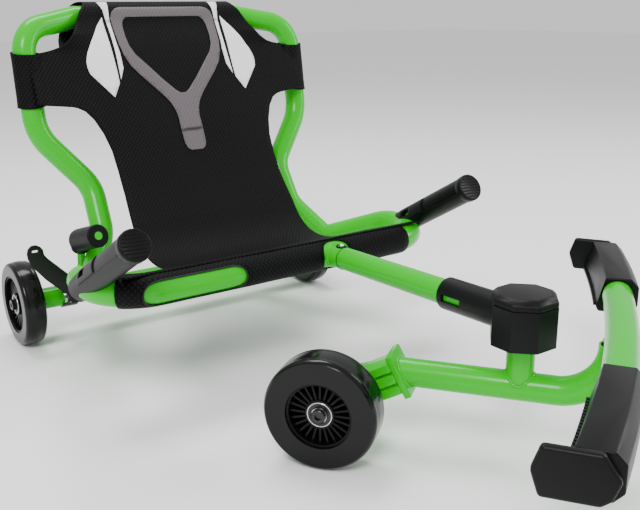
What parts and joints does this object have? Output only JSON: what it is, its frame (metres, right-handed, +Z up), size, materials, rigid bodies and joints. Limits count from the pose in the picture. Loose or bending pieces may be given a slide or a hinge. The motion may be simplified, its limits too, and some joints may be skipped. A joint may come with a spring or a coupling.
{
  "type": "swing steered ride-on kart",
  "caption": "Low ride-on kart with a fabric sling seat on a bent tube frame, hand grips, a tyre brake lever and a forward boom whose pivoted foot bar steers a trailing wheel",
  "frame": {"origin": "on the floor, midway between the rear wheels, straight below the rear axle", "axes": "+Z up, the kart faces -Y, +X is the rider's left, and the rear axle runs along X. The front arm is stored steered by 36.2 degrees."},
  "size_m": [0.6403, 0.9886, 0.4867],
  "materials": {
    "green_paint": "gloss",
    "black_plastic": "satin",
    "wheel_plastic": "satin",
    "tread": "gloss",
    "black_steel": "satin",
    "bright_steel": "satin",
    "seat_cloth": "woven"
  },
  "bodies": {
    "seat_frame": {"front_bar": "green_paint", "side_rail_left": "green_paint", "side_rail_right": "green_paint", "back_tube_left": "green_paint", "back_tube_right": "green_paint", "back_top_tube": "green_paint", "axle_tube": "green_paint", "grip_tube_left": "green_paint", "grip_tube_right": "green_paint", "boom_stub": "green_paint", "boom_tube": "green_paint", "hand_grip_left": "black_plastic", "hand_grip_right": "black_plastic", "head_housing": "black_plastic", "head_cap": "black_plastic", "axle_end_plugs": "black_plastic", "head_bushes": "black_plastic", "brake_bracket": "black_steel", "boom_spigot": "black_steel", "axle_bolts": "bright_steel", "axle_washers": "bright_steel", "axle_spacers": "bright_steel", "head_tube": "bright_steel", "snap_spring": "bright_steel", "brake_pivot_bolt": "bright_steel", "brake_pivot_nut": "bright_steel", "seat_sling": "seat_cloth"},
    "front_arm": {"steering_post": "green_paint", "head_bolt": "bright_steel", "head_washer": "bright_steel", "leg_bar": "green_paint", "foot_bar": "green_paint", "foot_pad_left": "black_plastic", "foot_pad_right": "black_plastic", "foot_plate_left": "black_plastic", "foot_plate_right": "black_plastic", "wheel_flange": "green_paint", "wheel_arm": "green_paint", "front_spacer": "bright_steel", "front_washer": "bright_steel", "front_bolt": "bright_steel", "front_nut": "bright_steel"},
    "front_wheel": {"front_tyre": "tread", "front_hub": "wheel_plastic", "front_bearings": "bright_steel", "front_bearing_tube": "bright_steel"},
    "rear_wheel_left": {"rear_tyre_left": "tread", "rear_hub_left": "wheel_plastic", "rear_bearings_left": "bright_steel", "rear_bearing_tube_left": "bright_steel"},
    "rear_wheel_right": {"rear_tyre_right": "tread", "rear_hub_right": "wheel_plastic", "rear_bearings_right": "bright_steel", "rear_bearing_tube_right": "bright_steel"},
    "brake_lever": {"brake_rod": "green_paint", "brake_knob": "black_plastic", "brake_arm": "black_steel"},
    "snap_button": {"snap_button": "bright_steel"}
  },
  "joints": [
    {"name": "steer", "type": "hinge", "parent": "seat_frame", "child": "front_arm", "pos_m": [0.0697, -0.671, 0.16], "axis": [0, 0, 1], "range_deg": [-96, 24]},
    {"name": "front_wheel_spin", "type": "hinge", "parent": "front_arm", "child": "front_wheel", "pos_m": [-0.10028, -0.5488, 0.064], "axis": [0.807, 0.5906, 0], "continuous": true},
    {"name": "rear_wheel_left_spin", "type": "hinge", "parent": "seat_frame", "child": "rear_wheel_left", "pos_m": [0.2534, 0, 0.0625], "axis": [1, 0, 0], "continuous": true},
    {"name": "rear_wheel_right_spin", "type": "hinge", "parent": "seat_frame", "child": "rear_wheel_right", "pos_m": [-0.2534, 0, 0.0625], "axis": [1, 0, 0], "continuous": true},
    {"name": "brake_pull", "type": "hinge", "parent": "seat_frame", "child": "brake_lever", "pos_m": [-0.188, -0.031, 0.068], "axis": [-1, 0, 0], "range_deg": [0, 13], "stiffness_Nm_per_rad": 4, "springref_deg": -3.44},
    {"name": "button_press", "type": "slide", "parent": "seat_frame", "child": "snap_button", "axis": [0, -0.0262, -0.9997], "range_m": [0, 0.0042], "stiffness_N_per_m": 600, "springref_m": -0.0005}
  ]
}
